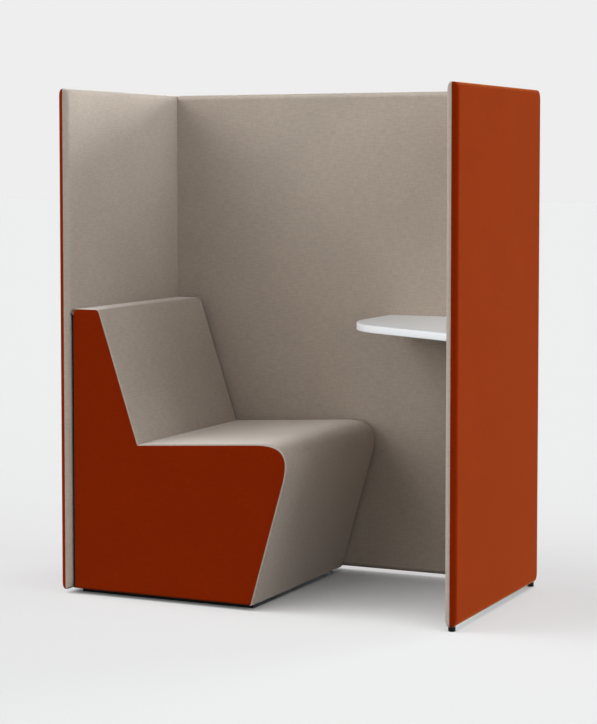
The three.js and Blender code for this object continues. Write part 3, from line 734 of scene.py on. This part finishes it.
def across_seat():
    """Stations across the seat, as Y, the swell at the rolled edges, the crown's share, and the distance from
    the nearer seam. The rolled edges are quarter rounds, and the crown is a parabola."""
    turn = np.linspace(ROLLED_TURN, 0, ROLLED_STEPS + 1)
    drop, inset = ROLLED_EDGE * (1 - np.sin(turn)), ROLLED_EDGE * (1 - np.cos(turn))
    tuck_swell = SEAM_GAP - ROLLED_EDGE
    near = np.concatenate([[near_inner_y + SEAM_GAP], near_y + SEAM_TUCKS, near_y + drop])
    far = np.concatenate([[far_inner_y - SEAM_GAP], far_y - SEAM_TUCKS, far_y - drop])
    rolled = np.concatenate([np.full(1 + len(SEAM_TUCKS), tuck_swell), np.maximum(-inset, tuck_swell)])
    share = np.linspace(0, 1, WIDTH_RUN + 1)[1:-1]
    inside = near[-1] + share * (far[-1] - near[-1])
    y = np.concatenate([near, inside, far[::-1]])
    swell = np.concatenate([rolled, np.zeros(len(inside)), rolled[::-1]])
    crown = np.concatenate([np.zeros(len(near)), 4 * share * (1 - share), np.zeros(len(far))])
    seam = np.minimum(np.abs(y - near_y), np.abs(y - far_y))
    return y, swell, crown, seam


def cushion(path, quiet):
    """A closed cushion: its side view, swollen by the crown between its ends, carried across the seat's width
    and closed by the flat of the boards under it. `quiet` is how far the crown dies out at either end."""
    y, rolled, crown, seam = across_seat()
    flat, inner, middle = path(rolled)
    full, _, _ = path(rolled + CROWN * crown)
    plain, _, _ = path(np.zeros(1))
    run = np.concatenate([[0], np.cumsum(np.linalg.norm(np.diff(plain[:, 0], axis=0), axis=1))])
    ends = np.minimum(run / quiet[0], (run[-1] - run) / quiet[1])
    share = np.clip(ends, 0, 1)[:, None, None]
    share = share * share * (3 - 2 * share)
    lumps = swells(run[:, None], y[None, :], CUSHION_WAVES)[..., None] * CUSHION_RELIEF / CROWN
    outer = flat + (full - flat) * share * (1 + lumps)
    knots = [0, middle, len(run) - 1]
    under = np.stack([np.interp(np.arange(len(run)), knots, line) for line in np.transpose(inner)], -1)
    loops = np.concatenate([outer, np.repeat(under[::-1, None], len(y), 1)])
    length = np.concatenate([run, run[::-1]])[:, None] + 0 * y
    width, seam = np.broadcast_to(y, length.shape), np.broadcast_to(seam, length.shape)
    rows = np.stack([loops[..., 0], width, loops[..., 1], width, length, seam], -1)
    numbers = np.arange(rows[..., 0].size).reshape(rows.shape[:2])
    faces = [quads(np.vstack([numbers, numbers[:1]]))]
    for column, flip in ((0, True), (-1, False)):
        outside, inside = numbers[:, column].reshape(2, -1)
        cap = quads(np.stack([outside, inside[::-1]], -1))
        faces.append(cap[:, ::-1] if flip else cap)
    return rows.reshape(-1, rows.shape[-1]), np.concatenate(faces)


for name, path, quiet in (("seat", seat_path, SEAT_QUIET), ("seat_back", back_path, BACK_QUIET)):
    skin = cushion(path, quiet)
    piece = make_piece(f"{name}_cushion", skin, taupe_cloth, "taupe_fabric", "pod", f"{name}_pad")


def side_loop(swell, trim):
    """The seat's side view as a loop of four sides: front to back, top, rear and bottom. Upholstered edges
    move out by the swell, the rear and the bottom move in by the trim."""
    front, pan, back, top = (shifted(line, swell) for line in (FRONT, PAN, BACK, TOP))
    bottom, rear = shifted(BOTTOM, trim), shifted(REAR, SIDE_REAR_SETBACK + trim)
    foot, nose, crease = meet(bottom, front), meet(front, pan), meet(pan, back)
    ridge, heel, root = meet(back, top), meet(top, rear), meet(rear, bottom)
    curve = soft_corner(foot, nose, crease, NOSE_R + swell, NOSE_STEPS, NOSE_FULLNESS)
    fold = soft_corner(nose, crease, ridge, SIDE_CREASE_R - swell, FOLD_STEPS)
    ridge_curve = soft_corner(crease, ridge, heel, BACK_TOP_FRONT_R + swell, RIDGE_STEPS)
    heel_curve = soft_corner(ridge, heel, root, BACK_TOP_REAR_R + swell, RIDGE_STEPS)
    half = RIDGE_STEPS // 2 + 1
    climb = np.concatenate([
        foot[None], run_between(foot, curve[0], SIDE_FRONT_RUN), curve,
        run_between(curve[-1], fold[0], SIDE_PAN_RUN), fold,
        run_between(fold[-1], ridge_curve[0], SIDE_BACK_RUN), ridge_curve[:half],
    ])
    top_run = run_between(ridge_curve[-1], heel_curve[0], SIDE_TOP_RUN)
    top_side = np.concatenate([ridge_curve[half:], top_run, heel_curve[:half]])
    count = len(climb) - half + 1
    knots = [0, NOSE_ROW, CREASE_ROW, count - 1]
    shares = np.interp(np.arange(count), knots, [0, NOSE_LEVEL, CREASE_LEVEL, 1])
    rise = root + shares[:, None] * (heel_curve[-1] - root)
    rear_side = np.concatenate([heel_curve[half:], rise[:-1][::-1]])
    bottom_side = run_between(root, foot, len(top_side))
    return np.concatenate([climb, top_side, rear_side, bottom_side]), len(climb) - 1, len(top_side)


def round_over(drop, radius):
    """How far a quarter round stands in at a distance below its face."""
    below = np.clip(radius - drop, 0, radius)
    return radius - math.sqrt(radius * radius - below * below)


def side_panel(face, inner):
    """A thin padded side: loops of the side view from its board to its face, rounded at the rear and the
    bottom and rolled into the seam elsewhere, with a slight swell over the face."""
    way = np.sign(face - inner)
    rings = []
    for drop in (abs(face - inner), *SIDE_DROPS):
        swell = -ROLLED_EDGE - round_over(drop, SIDE_SEAM_R) - SIDE_PLAY
        loop, climb, top = side_loop(swell, COVER_INSET + round_over(drop, SIDE_EDGE_R))
        rings.append(level(loop, 1, face - way * drop, loop, EDGE_SEAM))

    def relief(rows):
        """A swell and a seam distance that rise from the edges as the product of two half sines."""
        arches = [np.sin(np.pi * np.arange(1, n + 1) / (n + 1)) for n in rows.shape[:2]]
        rise = np.multiply.outer(*arches)
        lift = np.zeros(rows.shape)
        lift[..., 1] = way * SIDE_SWELL * np.minimum(1, SWELL_RISE * rise)
        lift[..., 5] = SIDE_SEAM * rise
        return lift

    return closed_panel(np.array(rings), climb, top, relief)


for name, face, inner in (("near", near_y, near_inner_y), ("far", far_y, far_inner_y)):
    skin = side_panel(face, inner)
    piece = make_piece(f"{name}_side_panel", skin, rust_cloth, "rust_fabric", "pod", f"seat_{name}_side_pad")


# Shelf table


def table_skin():
    """The table's board: loops of its outline from its underside to its top, with rounded arrises. The seam
    value grows from the edging to the faces, for the line where they meet."""
    low, high = cad_box("table_top")
    right_x, rear_y = high[:2]
    free_end = np.array([right_x - TABLE_LENGTH, rear_y - TABLE_END_DEPTH])
    near_end = np.array([right_x, rear_y - TABLE_SIDE_DEPTH])
    slant = way_to(free_end, near_end)
    out = np.array([slant[1], -slant[0]])

    def loop(inset):
        """The outline moved in by the inset: rear, free end, slanted front and right side."""
        edge = (*out, out @ near_end - inset)
        rear_right = np.array([right_x - inset, rear_y - inset])
        rear_left = np.array([free_end[0] + inset, rear_y - inset])
        nose, near_right = (meet((1.0, 0.0, corner[0]), edge) for corner in (rear_left, rear_right))
        rear_curve = soft_corner(rear_right, rear_left, nose, TABLE_REAR_R - inset, TABLE_REAR_STEPS)
        nose_curve = soft_corner(rear_left, nose, near_right, TABLE_NOSE_R - inset, TABLE_NOSE_STEPS)
        rear_half, nose_half = TABLE_REAR_STEPS // 2 + 1, TABLE_NOSE_STEPS // 2 + 1
        rear_run = run_between(rear_right, rear_curve[0], TABLE_REAR_RUN)
        rear = np.concatenate([rear_right[None], rear_run, rear_curve[:rear_half]])
        end_run = run_between(rear_curve[-1], nose_curve[0], TABLE_END_RUN)
        end = np.concatenate([rear_curve[rear_half:], end_run, nose_curve[:nose_half]])
        front_run = run_between(nose_curve[-1], near_right, len(rear) - nose_half)
        front = np.concatenate([nose_curve[nose_half:], front_run, near_right[None]])
        side = run_between(near_right, rear_right, len(end))
        return np.concatenate([rear, end, front, side]), len(rear) - 1, len(end)

    turn = np.linspace(0, np.pi / 2, TABLE_EDGE_STEPS + 1)
    insets = TABLE_EDGE_R * (1 - np.cos(turn))
    drops = TABLE_EDGE_R * (1 - np.sin(turn))
    seams = np.linspace(EDGING_END, FACE_START, TABLE_EDGE_STEPS + 1)
    lower = list(zip(low[2] + drops, insets, seams))[::-1]
    middle = [((low[2] + high[2]) / 2, 0.0, 0.0)]
    upper = list(zip(high[2] - drops, insets, seams))
    rings = []
    for z, inset, seam in lower + middle + upper:
        points, across, up = loop(inset)
        rings.append(level(points, 2, z, points, seam))
    return closed_panel(np.array(rings), across, up)


make_piece("table_board", table_skin(), white_laminate, "white_laminate", "pod", "table_top")


# Levelling feet


def capped(rings):
    """Rings joined in turn, with a grid across the first and the last one."""
    quarter = rings.shape[1] // 4
    return closed_panel(rings, quarter, quarter)


def foot_skin(centre, height):
    """A foot, turned from its half section: a flat sole, a round arris, an upright side and a small round at
    the top."""
    turn = np.linspace(0, np.pi / 2, FOOT_STEPS + 1)
    sole = [FOOT_R - FOOT_BOTTOM_R * (1 - np.sin(turn)), FOOT_BOTTOM_R * (1 - np.cos(turn))]
    rim = [FOOT_R - FOOT_TOP_R * (1 - np.cos(turn)), height - FOOT_TOP_R * (1 - np.sin(turn))]
    radius, heights = np.concatenate([sole, rim], 1)[..., None]
    angles = np.arange(FOOT_SIDES) * 2 * np.pi / FOOT_SIDES
    x, y = centre[0] + radius * np.cos(angles), centre[1] + radius * np.sin(angles)
    z = heights + 0 * angles
    return capped(np.stack([x, y, z, radius * angles, z, 0 * z], -1))


def thread_skin(centre, bottom, top):
    """A threaded stem: the radius falls and rises with the height along the screw line, as a V for each turn,
    and tapers at either end."""
    angles = np.arange(THREAD_SIDES) * 2 * np.pi / THREAD_SIDES
    heights = np.arange(bottom, top, THREAD_PITCH / THREAD_STEPS)
    z = heights[:, None] + 0 * angles
    phase = (z - angles * THREAD_PITCH / (2 * np.pi)) / THREAD_PITCH
    valley = np.abs(2 * (phase % 1) - 1)
    taper = np.clip(np.minimum(z - bottom, heights[-1] - z) / THREAD_TAPER, 0, 1)
    radius = STEM_R - THREAD_PLAY - THREAD_DEPTH * np.maximum(valley, 1 - taper)
    x, y = centre[0] + radius * np.cos(angles), centre[1] + radius * np.sin(angles)
    return capped(np.stack([x, y, z, STEM_R * angles + 0 * z, z, 0 * z], -1))


for end in ("front", "rear"):
    low, high = cad_box(f"{end}_foot_pad")
    centre = (low + high)[:2] / 2
    skin = foot_skin(centre, high[2])
    make_piece(f"{end}_foot", skin, black_plastic, "black_plastic", f"{end}_foot", f"{end}_foot_pad")
    low, high = cad_box(f"{end}_foot_stem")
    skin = thread_skin(centre, low[2], high[2])
    make_piece(f"{end}_foot_thread", skin, zinc, "zinc_steel", f"{end}_foot_screw", f"{end}_foot_stem")


# Nodes that stay as they are

slot_finish = {
    "board": board,
    "dark_board": dark_board,
    "black_laminate": black_laminate,
    "black_plastic": black_plastic,
    "white_laminate": white_laminate,
    "bracket_steel": coated_steel,
    "zinc_steel": zinc,
}
for part in frame["record"]["subparts"]:
    finish = slot_finish.get(part["material_slot"])
    node = frame["nodes"][part["node"]]
    if finish and not node.hide_render:
        node.data.materials.clear()
        node.data.materials.append(finish)


# Floor, backdrop, light and camera


def open_sky(start):
    """A floor's own light: the open share of the space over it within the shadows' reach, over the share from
    which on it is full, and at most 1."""
    settings, sockets = {"samples": SHADOW_SAMPLES}, {"Distance": SHADOW_REACH}
    clear = start.node("ShaderNodeAmbientOcclusion", settings, sockets, out="AO")
    return {"Emission Color": start.math("MINIMUM", clear / OPEN_SHARE, 1.0)}


def make_floor():
    """A square of flat paint that gives off a little light of its own, less of it where the object stands
    close over it. It lights nothing on the object."""
    look = {"Base Color": (*FLOOR, 1.0), "Roughness": 1.0, "Specular IOR Level": 0.0}
    look["Emission Strength"] = FLOOR_GLOW
    mesh = bpy.data.meshes.new("floor")
    corners = [(x * FLOOR_HALF, y * FLOOR_HALF, 0) for x, y in ((-1, -1), (1, -1), (1, 1), (-1, 1))]
    mesh.from_pydata(corners, [], [(0, 1, 2, 3)])
    mesh.materials.append(material("floor", look, open_sky))
    made = bpy.data.objects.new("floor", mesh)
    bpy.context.scene.collection.objects.link(made)
    made.visible_diffuse = made.visible_glossy = False


def make_background():
    """An even grey behind the floor, which the camera alone sees."""
    world = bpy.data.worlds.new("background")
    bpy.context.scene.world = world
    world.use_nodes = True
    sky = world.node_tree.nodes["Background"]
    sky.inputs["Color"].default_value = (BACKGROUND, BACKGROUND, BACKGROUND, 1)
    world.cycles_visibility.diffuse = world.cycles_visibility.glossy = False
    bpy.context.scene.view_settings.view_transform = "Standard"


def lamp(name, azimuth, elevation, strength, colour):
    """A distant lamp. Its azimuth runs from +X towards +Y, and a white surface that faces it gets the
    strength as its brightness. Angles are in degrees."""
    data = bpy.data.lights.new(name, "SUN")
    data.energy = strength * math.pi
    data.angle = LAMP_SPREAD
    data.color = colour
    made = bpy.data.objects.new(name, data)
    made.rotation_euler = (0, math.radians(90 - elevation), math.radians(azimuth))
    bpy.context.scene.collection.objects.link(made)


def make_camera():
    """The photograph's camera: a least-squares fit of the part's projected edges to the straight edges that
    the photograph shows."""
    data = bpy.data.cameras.new("camera")
    data.sensor_width = SENSOR_WIDTH
    data.lens = LENS
    data.shift_x, data.shift_y = LENS_SHIFT
    made = bpy.data.objects.new("camera", data)
    made.location = CAMERA_PLACE
    made.rotation_euler = (CAMERA_TILT, 0, CAMERA_TURN)
    bpy.context.scene.collection.objects.link(made)
    bpy.context.scene.camera = made


make_floor()
make_background()
lamp("front_light", azimuth=-65, elevation=6, strength=0.17, colour=NEUTRAL)
lamp("front_left_light", azimuth=-115, elevation=6, strength=0.35, colour=NEUTRAL)
lamp("front_high_light", azimuth=-100, elevation=50, strength=0.09, colour=NEUTRAL)
lamp("left_light", azimuth=-170, elevation=20, strength=0.30, colour=COOL)
lamp("left_upper_light", azimuth=-150, elevation=35, strength=0.35, colour=COOL)
lamp("left_high_light", azimuth=-165, elevation=50, strength=0.29, colour=COOL)
lamp("right_light", azimuth=0, elevation=20, strength=0.49, colour=COOL)
lamp("right_front_light", azimuth=-30, elevation=20, strength=0.25, colour=COOL)
lamp("right_rear_light", azimuth=60, elevation=2, strength=2.10, colour=COOL)
make_camera()
